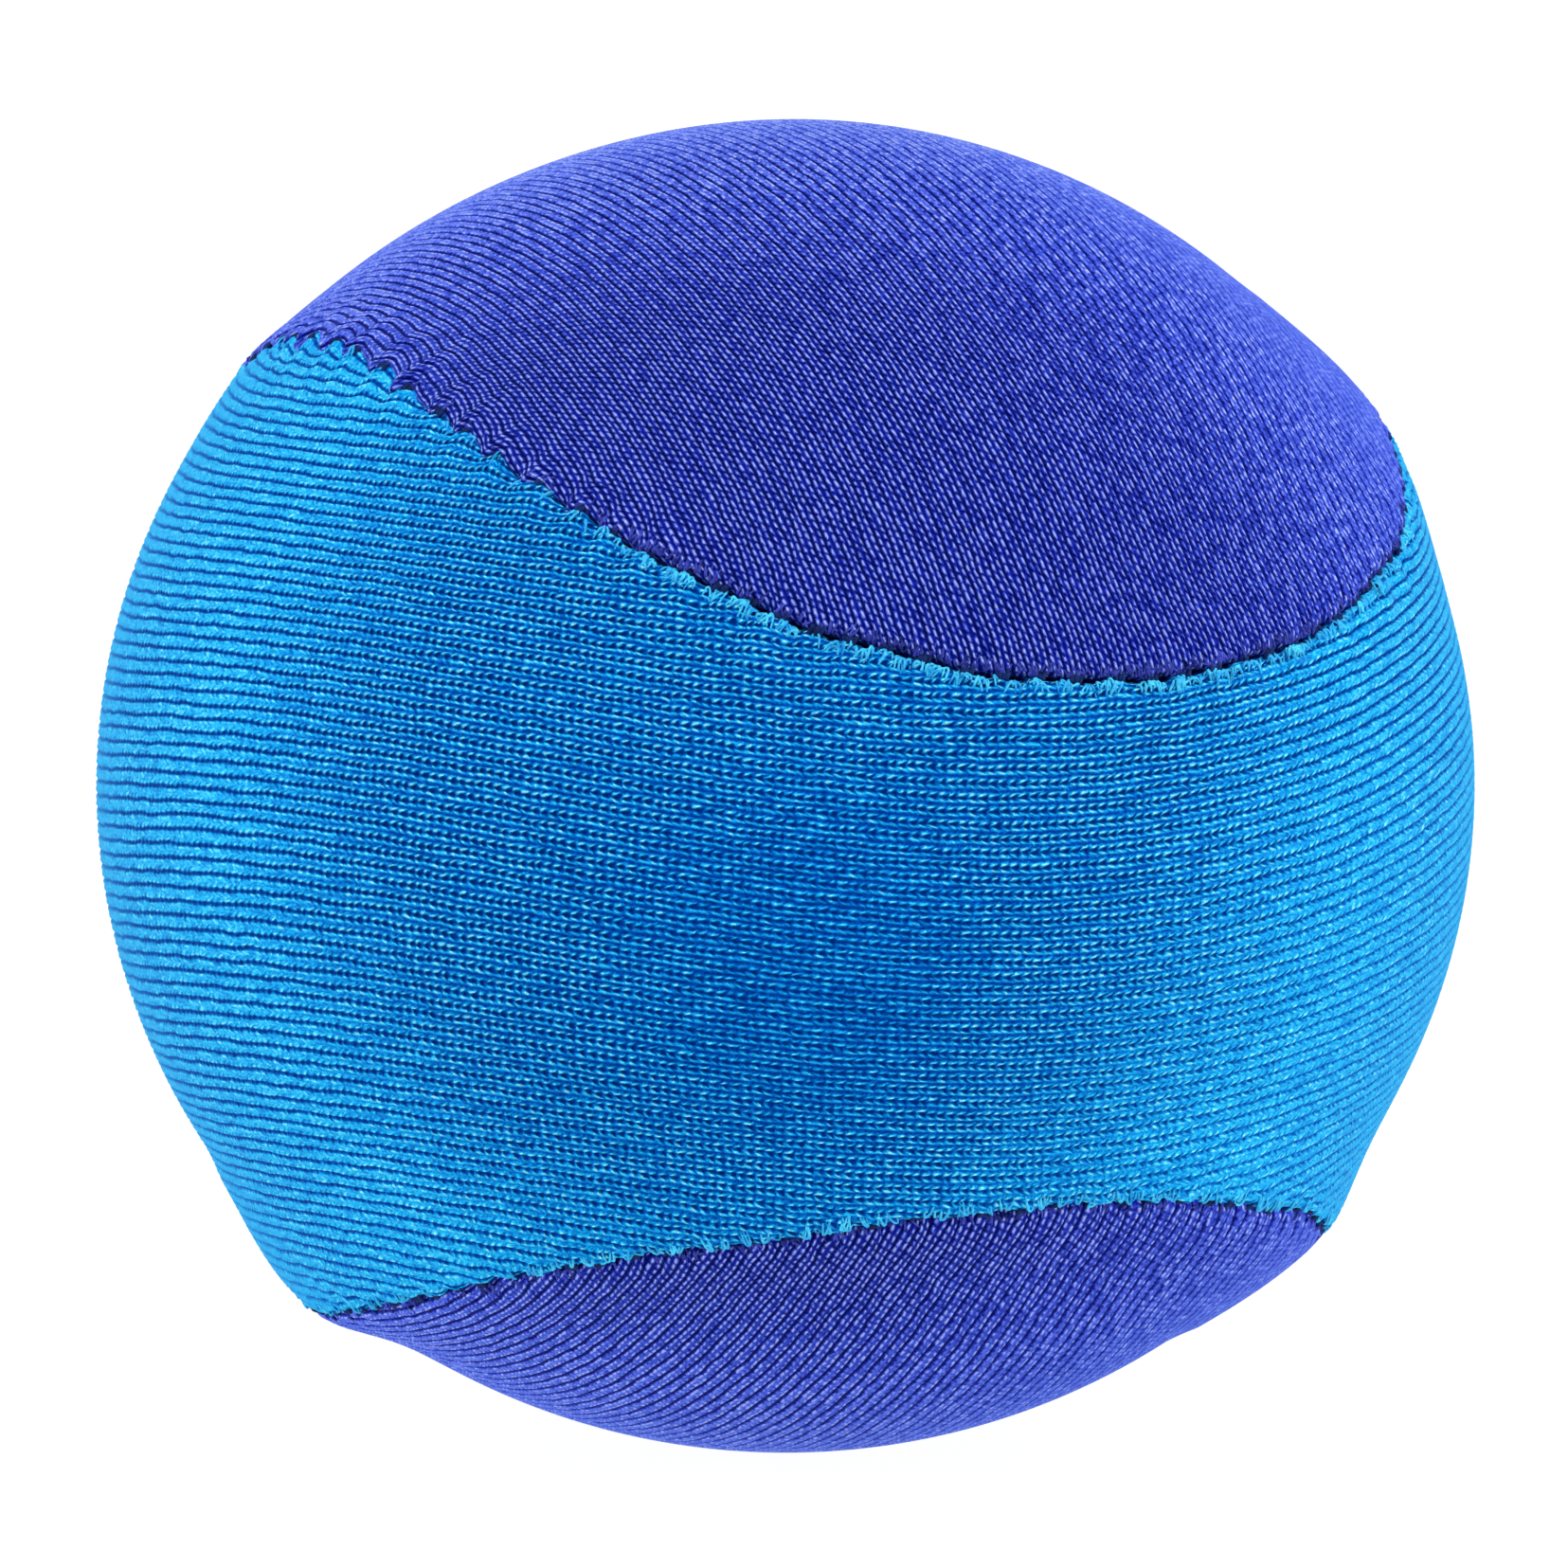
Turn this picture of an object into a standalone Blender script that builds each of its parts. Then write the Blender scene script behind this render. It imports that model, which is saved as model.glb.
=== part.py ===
"""Soft gel play ball in a two-panel stretch-knit cover.

Frame: metres, +Z up, origin at the ball's centre.  The azure panel's narrow
waist faces -Y and its two lobes wrap round to +Y along X; the royal panel's
waist faces +Y and its two lobes wrap over the top and under the bottom.  One
closed seam, the line found on a tennis ball, joins the two panels.

The ball rests on a small flat that the gel makes under its own weight.
"""
import math
from typing import NamedTuple

import bmesh
import bpy
from mathutils import Vector

# ---------------------------------------------------------------- dimensions
BALL_RADIUS = 0.0275          # over the cover, in the level directions
BALL_HALF_HEIGHT = 0.0266     # over the cover, straight up: the gel sags a little
FOOT_DEPTH = 0.00055          # how far the resting flat is pressed in
FOOT_TOLERANCE = 1e-7         # heights closer than this count as on the flat

FABRIC = 0.0007               # knit fabric, one layer, stretched
CLEAR = 0.0003                # gap kept between neighbouring pieces
SEAM_GAP = 0.00045            # half the slot between the two turned-in edges
ALLOWANCE = 0.0018            # turned-in seam allowance below the fabric's inside
FOLD_DROP = 0.00025           # rounding of the turned edge

SEAM_FULLNESS = 0.2517        # 0 would be a plain equator, 0.5 two pinched waists
# How far the sewn line strays towards the azure panel (+), as waves of 1, 2, 3,
# 4 and 5 turns round the seam: (cosine part, sine part)
SEAM_WAVES = (
    (0.0020, 0.0021),
    (0.0025, 0.0040),
    (0.0021, -0.0006),
    (0.0007, -0.0004),
    (-0.0004, -0.0012),
)
# Single places where it strays towards the azure (+) or the royal (-) panel:
# (direction from the centre, degrees over which it fades, distance)
SEAM_STRAYS = (
    ((0.84, -0.26, 0.48), 20.0, -0.0019),
    ((-0.60, 0.48, 0.64), 17.0, 0.0013),
    ((0.05, -0.88, -0.47), 27.0, 0.00055),
    ((-0.68, -0.20, -0.70), 36.0, 0.00062),
)
SEAM_SAMPLES = 4096           # fine steps used to measure the seam's length
TANGENT_STEP = 1e-3           # parameter step either side when taking a tangent

STITCHES = 96                 # stitches round the whole seam, about 1.7 to 2 per cm
RUNG_STEPS = 8                # facets across a panel from edge to edge
SHARP_ANGLE = math.radians(40)

# Threads
THREAD_RADIUS = 0.00014       # half thickness
NEEDLE_DEPTH = 0.0013         # mean depth of the needle thread
CLOSING_DEPTH = 0.0011        # mean depth of the closing thread
NEEDLE_SWING = 0.00045        # they rise and dip this far about the mean
LOOPER_SWING = 0.00022        # the looper threads swing this far sideways

OPENING_FIRST = 67            # seam stations between which the opening
OPENING_LAST = 77             # was closed by hand after the ball went in
CLOSING_COUNT = OPENING_LAST - OPENING_FIRST
SEWN_FIRST = OPENING_LAST + 1           # one station clear of the closing
SEWN_COUNT = STITCHES - CLOSING_COUNT - 2   # thread at each end

# Distances sideways from the seam line
FABRIC_EDGE = SEAM_GAP + FABRIC         # far side of a turned-in edge
LOOPER_OFFSET = SEAM_GAP + 0.5 * FABRIC
GROOVE_HALF_WIDTH = FABRIC_EDGE + CLEAR

# Depths below the outside of the ball
ALLOWANCE_DEPTH = FABRIC + ALLOWANCE
LOOPER_DEPTH = ALLOWANCE_DEPTH + CLEAR + THREAD_RADIUS
GROOVE_DEPTH = LOOPER_DEPTH + THREAD_RADIUS + CLEAR
GEL_DEPTH = FABRIC + CLEAR


class Panel(NamedTuple):
    """Which side of the seam a panel lies on, and the station at one lobe's end."""
    side: float
    tip: int


AZURE = Panel(side=1.0, tip=3 * STITCHES // 8)
ROYAL = Panel(side=-1.0, tip=STITCHES // 8)


# ---------------------------------------------------------------- seam line
def ideal_seam(t):
    """Unit direction of the even, tennis-ball seam at parameter t."""
    minor = SEAM_FULLNESS
    major = 1.0 - minor
    x = major * math.cos(t) + minor * math.cos(3 * t)
    y = major * math.sin(t) - minor * math.sin(3 * t)
    z = 2.0 * math.sqrt(major * minor) * math.sin(2 * t)
    # an eighth turn about the curve's own axis, which is then laid along Y
    eighth_turn = math.sqrt(0.5)
    return Vector(((x - y) * eighth_turn, -z, (x + y) * eighth_turn)).normalized()


def seam_frame(curve, t):
    """Point and sideways direction (towards the azure panel) of a seam curve."""
    point = curve(t)
    along = (curve(t + TANGENT_STEP) - curve(t - TANGENT_STEP)).normalized()
    return point, point.cross(along).normalized()


def real_seam(t):
    """Unit direction of the seam as sewn, with its waves and strays."""
    point, side = seam_frame(ideal_seam, t)
    shift = sum(cosine * math.cos(turns * t) + sine * math.sin(turns * t)
                for turns, (cosine, sine) in enumerate(SEAM_WAVES, start=1))
    point = (point + side * (shift / BALL_RADIUS)).normalized()
    shift = sum(distance * math.exp(-(math.degrees(point.angle(Vector(place))) / fade) ** 2)
                for place, fade, distance in SEAM_STRAYS)
    return (point + side * (shift / BALL_RADIUS)).normalized()


def station_parameters():
    """Parameters of the stations, spaced evenly along the seam's length."""
    points = [real_seam(2 * math.pi * k / SEAM_SAMPLES) for k in range(SEAM_SAMPLES + 1)]
    run = [0.0]
    for start, end in zip(points, points[1:]):
        run.append(run[-1] + (end - start).length)
    parameters = []
    k = 0
    for i in range(STITCHES):
        wanted = run[-1] * i / STITCHES
        while run[k + 1] < wanted:
            k += 1
        fraction = (wanted - run[k]) / (run[k + 1] - run[k])
        parameters.append(2 * math.pi * (k + fraction) / SEAM_SAMPLES)
    return parameters


# (point, sideways direction) at each station
SEAM = [seam_frame(real_seam, t) for t in station_parameters()]


def beside_seam(station, distance):
    """Direction a distance from a station, towards azure (+) or royal (-)."""
    point, side = SEAM[station % STITCHES]
    angle = distance / BALL_RADIUS
    return (point * math.cos(angle) + side * math.sin(angle)).normalized()


def edge_directions(panel, distance):
    """Directions all round the seam, a distance into a panel."""
    return [beside_seam(i, panel.side * distance) for i in range(STITCHES)]


# ---------------------------------------------------------------- surfaces
def ball_point(direction, depth):
    """Point in a direction, sunk by depth below the outside of the ball."""
    radius = BALL_RADIUS - depth
    half_height = BALL_HALF_HEIGHT - depth
    return Vector((direction.x * radius, direction.y * radius, direction.z * half_height))


def slerp(start, end, fraction):
    """Direction part of the way along the arc from start to end."""
    angle = start.angle(end)
    sine = math.sin(angle)
    return (start * (math.sin((1 - fraction) * angle) / sine)
            + end * (math.sin(fraction * angle) / sine)).normalized()


def add_ring(bm, directions, depth):
    return [bm.verts.new(ball_point(direction, depth)) for direction in directions]


def join_rings(bm, rings, flip):
    """Bands of quads between each closed ring and the next."""
    for ring, following in zip(rings, rings[1:]):
        for i in range(len(ring)):
            j = (i + 1) % len(ring)
            quad = [ring[i], ring[j], following[j], following[i]]
            bm.faces.new(quad[::-1] if flip else quad)


def fill_rim(bm, rim, directions, tip, depth, flip):
    """Fill a rim with rungs laid across it, from one lobe's tip to the other's."""
    faces = []

    def add_face(corners):
        faces.append(bm.faces.new(corners[::-1] if flip else corners))

    half = STITCHES // 2
    previous = None
    for k in range(1, half):
        i, j = (tip + k) % STITCHES, (tip - k) % STITCHES
        rung = [rim[i]]
        for step in range(1, RUNG_STEPS):
            direction = slerp(directions[i], directions[j], step / RUNG_STEPS)
            rung.append(bm.verts.new(ball_point(direction, depth)))
        rung.append(rim[j])
        if previous is None:
            for near, far in zip(rung, rung[1:]):
                add_face([rim[tip], near, far])
        else:
            for c in range(RUNG_STEPS):
                add_face([previous[c], rung[c], rung[c + 1], previous[c + 1]])
        previous = rung
    for near, far in zip(previous, previous[1:]):
        add_face([far, near, rim[(tip + half) % STITCHES]])
    return faces


def press_foot(bm, faces, depth):
    """Cut a skin along the outline of the resting flat, then flatten inside it."""
    level = -(BALL_HALF_HEIGHT - FOOT_DEPTH - depth)
    low_faces = [face for face in faces
                 if min(v.co.z for v in face.verts) < level - FOOT_TOLERANCE]
    if low_faces:
        geometry = set(low_faces)
        for face in low_faces:
            geometry.update(face.verts)
            geometry.update(face.edges)
        bmesh.ops.bisect_plane(bm, geom=list(geometry), dist=FOOT_TOLERANCE,
                               plane_co=(0, 0, level), plane_no=(0, 0, 1))
    for v in bm.verts:
        if v.co.z < level:
            v.co.z = level


def add_skin(bm, panel, distance, depth, flip):
    """Add one skin of a panel, resting flat included, and return its rim.

    The skin is made in a mesh of its own, so that pressing touches nothing else.
    """
    directions = edge_directions(panel, distance)
    skin = bmesh.new()
    rim = add_ring(skin, directions, depth)
    faces = fill_rim(skin, rim, directions, panel.tip, depth, flip)
    press_foot(skin, faces, depth)

    copies = {v: bm.verts.new(v.co) for v in skin.verts}
    for face in skin.faces:
        bm.faces.new([copies[v] for v in face.verts])
    copied_rim = [copies[v] for v in rim]
    skin.free()
    return copied_rim


def finish(bm, name, material):
    """Turn a bmesh into a shaded object in the scene."""
    bmesh.ops.triangulate(bm, faces=bm.faces[:])
    bmesh.ops.recalc_face_normals(bm, faces=bm.faces[:])
    mesh = bpy.data.meshes.new(name)
    bm.to_mesh(mesh)
    bm.free()
    mesh.shade_smooth()
    mesh.set_sharp_from_angle(angle=SHARP_ANGLE)
    mesh.materials.append(material)
    bpy.context.scene.collection.objects.link(bpy.data.objects.new(name, mesh))


def make_material(name, colour, roughness):
    material = bpy.data.materials.new(name)
    material.use_nodes = True
    inputs = material.node_tree.nodes["Principled BSDF"].inputs
    inputs["Base Color"].default_value = (*colour, 1.0)
    inputs["Roughness"].default_value = roughness
    inputs["Metallic"].default_value = 0.0
    return material


# ---------------------------------------------------------------- pieces
def cover_panel(name, panel, material):
    """One layer of knit whose edge is turned in towards the centre."""
    flip = panel.side > 0
    bm = bmesh.new()
    outer_rim = add_skin(bm, panel, FABRIC_EDGE, depth=0.0, flip=flip)
    inner_rim = add_skin(bm, panel, FABRIC_EDGE, depth=FABRIC, flip=not flip)
    near = edge_directions(panel, SEAM_GAP)
    far = edge_directions(panel, FABRIC_EDGE)
    fold = add_ring(bm, near, FOLD_DROP)
    near_bottom = add_ring(bm, near, ALLOWANCE_DEPTH)
    far_bottom = add_ring(bm, far, ALLOWANCE_DEPTH)
    join_rings(bm, [outer_rim, fold, near_bottom, far_bottom, inner_rim], flip=not flip)
    finish(bm, name, material)


def gel_core(material):
    """The solid ball inside the cover, with a groove that clears the seam."""
    bm = bmesh.new()
    walls = []
    for panel in (AZURE, ROYAL):
        top = add_skin(bm, panel, GROOVE_HALF_WIDTH, GEL_DEPTH, flip=panel.side > 0)
        bottom = add_ring(bm, edge_directions(panel, GROOVE_HALF_WIDTH), GROOVE_DEPTH)
        walls.append((top, bottom))
    (azure_top, azure_bottom), (royal_top, royal_bottom) = walls
    join_rings(bm, [azure_top, azure_bottom, royal_bottom, royal_top], flip=False)
    finish(bm, "gel_core", material)


def thread(name, first, count, material, depth, offset=0.0, depth_swing=0.0, offset_swing=0.0):
    """A square-section strand along the seam, with two rings per stitch.

    It swings by -swing at the stations and by +swing halfway between them.
    """
    bm = bmesh.new()
    rings = []
    for k in range(2 * count + 1):
        step, halfway = divmod(k, 2)
        station = first + step
        swing = 1 if halfway else -1
        ring_offset = offset + swing * offset_swing
        ring_depth = depth + swing * depth_swing
        centre = ball_point(beside_seam(station, ring_offset), ring_depth)
        point, side = SEAM[station % STITCHES]
        out = ball_point(point, 0.0).normalized()
        if halfway:
            next_centre = ball_point(beside_seam(station + 1, ring_offset), ring_depth)
            next_point, next_side = SEAM[(station + 1) % STITCHES]
            centre = (centre + next_centre) * 0.5
            side = (side + next_side).normalized()
            out = (out + next_point).normalized()
        side = (side - out * side.dot(out)).normalized()
        rings.append([
            bm.verts.new(centre + side * (THREAD_RADIUS * x) + out * (THREAD_RADIUS * y))
            for x, y in ((1, 0), (0, 1), (-1, 0), (0, -1))])
    join_rings(bm, rings, flip=False)
    bm.faces.new(rings[0][::-1])
    bm.faces.new(rings[-1])
    finish(bm, name, material)


def build():
    for old in list(bpy.data.objects):
        bpy.data.objects.remove(old, do_unlink=True)

    azure = make_material("azure_knit", colour=(0.012, 0.18, 0.52), roughness=0.75)
    royal = make_material("royal_knit", colour=(0.04, 0.06, 0.38), roughness=0.75)
    gel = make_material("gel", colour=(0.30, 0.42, 0.55), roughness=0.35)
    navy = make_material("navy_thread", colour=(0.01, 0.015, 0.09), roughness=0.6)

    cover_panel("cover_panel_azure", AZURE, azure)
    cover_panel("cover_panel_royal", ROYAL, royal)
    gel_core(gel)

    thread("needle_thread", SEWN_FIRST, SEWN_COUNT, navy,
           depth=NEEDLE_DEPTH, depth_swing=NEEDLE_SWING)
    # the loopers mirror each other: upper on the azure side, lower on the royal
    for name, panel in (("upper_looper_thread", AZURE), ("lower_looper_thread", ROYAL)):
        thread(name, SEWN_FIRST, SEWN_COUNT, navy, depth=LOOPER_DEPTH,
               offset=panel.side * LOOPER_OFFSET, offset_swing=panel.side * LOOPER_SWING)
    thread("closing_thread", OPENING_FIRST, CLOSING_COUNT, navy,
           depth=CLOSING_DEPTH, depth_swing=NEEDLE_SWING)


build()
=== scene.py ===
"""Looks of the gel play ball: two rib-knit cover panels, their sewn seam and threads.

The ball is centred on the origin and rests on a small flat at its foot. +Z is up, -Y is the
front and +X is the right as seen from the front. The azure panel's middle is at the front,
the royal panel's at the back. Cloth and thread are worked out in mm and made in metres;
materials, floor, lights and camera are in metres.
"""
import math
from types import SimpleNamespace

import bpy
import numpy as np
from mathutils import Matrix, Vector, kdtree


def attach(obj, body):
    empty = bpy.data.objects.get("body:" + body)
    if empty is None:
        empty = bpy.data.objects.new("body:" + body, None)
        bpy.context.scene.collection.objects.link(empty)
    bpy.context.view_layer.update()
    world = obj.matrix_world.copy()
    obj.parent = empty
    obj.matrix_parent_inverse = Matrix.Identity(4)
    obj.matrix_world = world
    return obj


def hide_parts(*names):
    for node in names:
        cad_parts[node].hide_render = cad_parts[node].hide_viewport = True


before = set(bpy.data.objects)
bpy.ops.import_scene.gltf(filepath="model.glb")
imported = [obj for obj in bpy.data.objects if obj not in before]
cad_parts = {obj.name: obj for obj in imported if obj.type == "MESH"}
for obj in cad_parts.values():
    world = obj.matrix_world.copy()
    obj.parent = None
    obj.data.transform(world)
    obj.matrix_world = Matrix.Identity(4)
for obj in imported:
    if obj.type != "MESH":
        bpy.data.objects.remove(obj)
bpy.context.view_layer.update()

MM = 0.001
R_SIDE = 27.5            # ball's level radius over the cover, mm
R_UP = 26.6              # its half height, mm
RADII = np.array([R_SIDE, R_SIDE, R_UP])
FOOT_Z = -26.05          # level of the resting flat, mm
RNG = np.random.default_rng(7)

# Directions from the ball's centre that several features share
UPPER_LEFT = (-0.46, -0.77, 0.45)
UPPER_RIGHT = (0.84, -0.26, 0.48)
LOWER_RIGHT = (0.55, -0.43, -0.72)
LOWER_BACK_LEFT = (-0.69, 0.20, -0.69)
AZURE_CALM = (-0.42, -0.90, -0.05)    # where the azure ribs read plainest
AZURE_EASED = (0.45, -0.80, -0.41)    # where each cloth's ribs are stretched flatter
ROYAL_EASED = (0.56, -0.56, 0.61)


def unit(v):
    return v / np.linalg.norm(v, axis=-1, keepdims=True)


def bump(x, width):
    """1 at zero, falling off over a width."""
    return np.exp(-(x / width) ** 2)


def near(q, direction, degrees):
    """1 at a direction on the ball, falling off over so many degrees."""
    cosine = q @ unit(np.array(direction, float))
    return bump(np.degrees(np.arccos(np.clip(cosine, -1, 1))), degrees)


def with_bumps(q, base, *bumps):
    """A base value plus bumps, each given as (height, direction, degrees)."""
    for height, direction, degrees in bumps:
        base = base + height * near(q, direction, degrees)
    return base


def on_ball(q):
    """Point of the smooth cover in mm, and the outward direction there."""
    return q * RADII, unit(q / RADII)


# ------------------------------------------------------------------ seam line
SEAM_N = 6000
SEAM_B = 0.2517          # share of the triple turn in the closed S-shaped seam curve
# sideways wander in mm: cosine and sine parts for one, two, ... turns round the seam
SEAM_WANDER = ((2.0, 2.1), (2.5, 4.0), (2.1, -0.6), (0.7, -0.4), (-0.4, -1.2))
# local strays: sideways mm, direction, degrees
SEAM_STRAYS = ((-1.9, UPPER_RIGHT, 20.0), (1.3, (-0.60, 0.48, 0.64), 17.0),
               (0.55, (0.05, -0.88, -0.47), 27.0), (0.62, (-0.68, -0.20, -0.70), 36.0))


def seam_samples(count):
    """Evenly spaced seam points, the ways along and toward the azure panel, length in mm."""
    turn = np.linspace(0, 2 * np.pi, count, endpoint=False)
    single, triple = 1 - SEAM_B, SEAM_B
    x = single * np.cos(turn) + triple * np.cos(3 * turn)
    y = single * np.sin(turn) - triple * np.sin(3 * turn)
    z = 2 * math.sqrt(single * triple) * np.sin(2 * turn)
    eighth = math.sqrt(0.5)    # the curve is turned by an eighth, then laid on its side
    line = unit(np.stack([(x - y) * eighth, -z, (x + y) * eighth], 1))
    ahead = unit(np.roll(line, -1, 0) - np.roll(line, 1, 0))
    side = np.cross(line, ahead)
    wander = sum(c * np.cos((k + 1) * turn) + s * np.sin((k + 1) * turn)
                 for k, (c, s) in enumerate(SEAM_WANDER)) / R_SIDE
    line = unit(line + side * wander[:, None])
    stray = with_bumps(line, 0, *SEAM_STRAYS) / R_SIDE
    line = unit(line + side * stray[:, None])
    # even spacing along the line
    gaps = np.linalg.norm(np.roll(line, -1, 0) - line, axis=1)
    run = np.concatenate([[0], np.cumsum(gaps)])
    closed = np.vstack([line, line[:1]])
    want = np.linspace(0, run[-1], count, endpoint=False)
    line = unit(np.stack([np.interp(want, run, closed[:, k]) for k in range(3)], 1))
    ahead = unit(np.roll(line, -1, 0) - np.roll(line, 1, 0))
    side = unit(np.cross(line, ahead))
    # sideways points into the azure panel, whose middle is at the front
    front = np.argmax(-line[:, 1] + line[:, 2] * 0.3)
    if side[front] @ (np.array([0.0, -1.0, 0.0]) - line[front]) < 0:
        side = -side
    return line, ahead, side, run[-1] * R_SIDE


SEAM_P, SEAM_T, SEAM_S, SEAM_LEN = seam_samples(SEAM_N)
seam_tree = kdtree.KDTree(SEAM_N)
for i in range(SEAM_N):
    seam_tree.insert(SEAM_P[i], i)
seam_tree.balance()


def to_seam(q):
    """Nearest seam sample and signed distance in mm (plus = azure side)."""
    spot = np.fromiter((seam_tree.find(v)[1] for v in q), int, len(q))
    lateral = np.arcsin(np.clip((q * SEAM_S[spot]).sum(1), -1, 1)) * R_SIDE
    chord = np.linalg.norm(q - SEAM_P[spot], axis=1)
    dist = 2 * np.arcsin(np.clip(chord / 2, 0, 1)) * R_SIDE
    signed = np.sign(lateral) * np.maximum(dist, np.abs(lateral))
    return spot, np.where(np.abs(lateral) < 0.02, lateral, signed)


def off_seam(spot, angle):
    """Direction at an angle to the azure side of a seam sample."""
    return SEAM_P[spot] * np.cos(angle)[..., None] + SEAM_S[spot] * np.sin(angle)[..., None]


# ------------------------------------------------- how the seam is gathered
def smooth_noise(cells):
    """Periodic smooth noise in -1..1 along the seam."""
    values = RNG.uniform(-1, 1, cells)
    x = np.arange(SEAM_N) / SEAM_N * cells
    i = x.astype(int)
    part = x - i
    part = part * part * (3 - 2 * part)
    return values[i % cells] * (1 - part) + values[(i + 1) % cells] * part


def smooth_grid(shape, cells, rng):
    """Smooth noise in -1..1 over a grid."""
    values = rng.uniform(-1, 1, (cells[0] + 2, cells[1] + 2))

    def axis(count, cell_count):
        x = np.linspace(0, cell_count, count, endpoint=False)
        i = x.astype(int)
        part = x - i
        return i, part * part * (3 - 2 * part)

    i, down = axis(shape[0], cells[0])
    j, over = axis(shape[1], cells[1])
    this, following = values[i], values[i + 1]
    low = this[:, j] * (1 - over) + this[:, j + 1] * over
    high = following[:, j] * (1 - over) + following[:, j + 1] * over
    return low * (1 - down[:, None]) + high * down[:, None]


# All of these are values along the seam; bumps are (height, direction, degrees)
GATHER_HARD = np.clip(with_bumps(SEAM_P, 0, (1.25, (-0.70, -0.10, 0.69), 26)), 0, 1)
# where the seam gapes a little
GAPE = np.clip(with_bumps(SEAM_P, 0, (1.0, (-0.04, -0.94, 0.33), 24),
                          (0.8, (0.38, -0.85, 0.35), 14), (0.45, UPPER_LEFT, 14)), 0, 1)
# the two cloths stand up along the seam, more at some stretches and farther to one side
RIDGE_MM = with_bumps(SEAM_P, 0.64, (-0.45, (-0.63, 0.45, 0.63), 24),
                      (0.62, LOWER_BACK_LEFT, 20), (0.20, LOWER_RIGHT, 22))
WIDE_ROYAL = with_bumps(SEAM_P, 2.9, (1.5, (0.74, -0.23, 0.63), 24), (2.8, LOWER_RIGHT, 26),
                        (-0.4, LOWER_BACK_LEFT, 20))
WIDE_AZURE = with_bumps(SEAM_P, 2.9, (1.9, LOWER_BACK_LEFT, 20),
                        (1.2, (0.80, -0.35, 0.45), 20))
# which cloth lies over the other (plus = royal on top)
AZURE_OVER = np.maximum(np.maximum(near(SEAM_P, (-0.30, -0.80, -0.50), 40),
                                   near(SEAM_P, (0.40, -0.76, -0.53), 36)),
                        0.7 * near(SEAM_P, (-0.70, -0.15, -0.69), 26))
OVER = GATHER_HARD + 0.3 - 0.85 * AZURE_OVER
STITCH_MM = 1.45 + 0.80 * GATHER_HARD
even_turn = np.cumsum(SEAM_LEN / SEAM_N / STITCH_MM)
even_turn *= round(even_turn[-1]) / even_turn[-1]    # a whole number of stitches
# the puckers lean one way along the seam, the way the line was sewn
sewn_at = np.argmax(SEAM_P @ unit(np.array([-0.70, -0.21, 0.69])))
SEWN = 1.0 if SEAM_T[sewn_at] @ np.array([0.893, -0.449, 0.0]) > 0 else -1.0

STITCH_TURN = even_turn + 0.14 * smooth_noise(150) + 0.22 * smooth_noise(60)
STITCH_SIZE = 1.0 + 0.40 * smooth_noise(110)
EDGE_WANDER = 0.13 * smooth_noise(90) + 0.08 * smooth_noise(260)
CRUMPLE_EDGE = smooth_noise(520)
CRUMPLE_INNER = smooth_noise(430)
CRUMPLE_FINE = smooth_noise(700)
CURLY = near(SEAM_P, (0.66, -0.60, 0.44), 20)

COURSE_MM = 0.40         # one stitch along a rib
PER_RIB = 8              # mesh steps across a rib
FOLD_R = 0.42            # radius of a panel's turned edge, mm
GAP = 0.03               # from the seam line to the turned edge, mm
TUCK = 1.1               # how far the turned edge runs down into the seam, mm
FOLD_START = GAP + FOLD_R
FOLD_LENGTH = 0.5 * math.pi * FOLD_R


def lean(turn):
    """A wave along the seam that climbs slowly and drops quickly, as the sewing pulls it."""
    x = 2 * np.pi * turn * SEWN
    return -(np.sin(x) + 0.30 * np.sin(2 * x)) / 1.05


def snake(spot):
    """How far the whole edge is pulled toward the azure side, in mm."""
    pull = 0.30 * GATHER_HARD[spot] * lean(STITCH_TURN[spot]) * STITCH_SIZE[spot]
    return pull - EDGE_WANDER[spot]


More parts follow.
